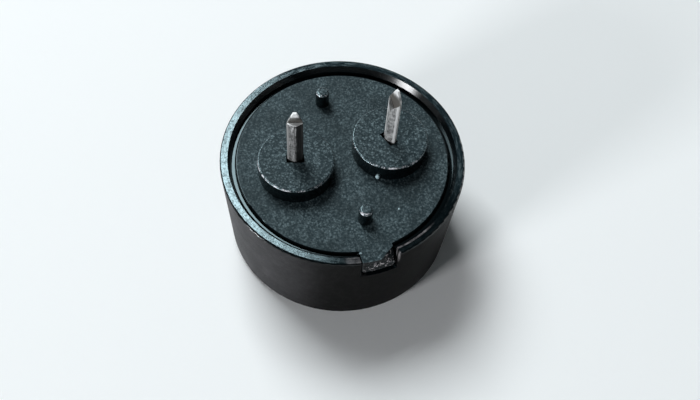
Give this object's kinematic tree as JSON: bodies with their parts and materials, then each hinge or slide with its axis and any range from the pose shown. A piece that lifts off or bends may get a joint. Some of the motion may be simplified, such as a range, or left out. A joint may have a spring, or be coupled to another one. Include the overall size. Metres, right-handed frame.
{
  "type": "piezo buzzer",
  "caption": "Round black pin-type piezo sounder: moulded cup case with a keyed base plate, bosses and nubs, and pointed tin-plated solder pins; it sounds when driven by an alternating voltage.",
  "frame": {"origin": "centre of the sound face, on the surface that the buzzer lies on with its pins up, as in the picture", "axes": "+Z from the sound face towards the pins, +X from the left pin to the right pin, -Y towards the key tab and its notch"},
  "size_m": [0.0126, 0.0125, 0.0107],
  "materials": {
    "case_plastic": "moulded black plastic, satin",
    "plate_plastic": "moulded black plastic with a fine spark-eroded grain on top and smooth walls",
    "tin_plate": "tin-plated bronze sheet, bare bronze at the cut point",
    "diaphragm_brass": "rolled brass sheet",
    "piezo_ceramic": "ceramic with a fired silver electrode on top",
    "sealant": "cured silicone"
  },
  "bodies": {
    "root": {"case": "case_plastic", "base_plate": "plate_plastic", "left_terminal": "tin_plate", "right_terminal": "tin_plate", "diaphragm_plate": "diaphragm_brass", "piezo_ceramic": "piezo_ceramic", "edge_sealant": "sealant"}
  },
  "joints": []
}
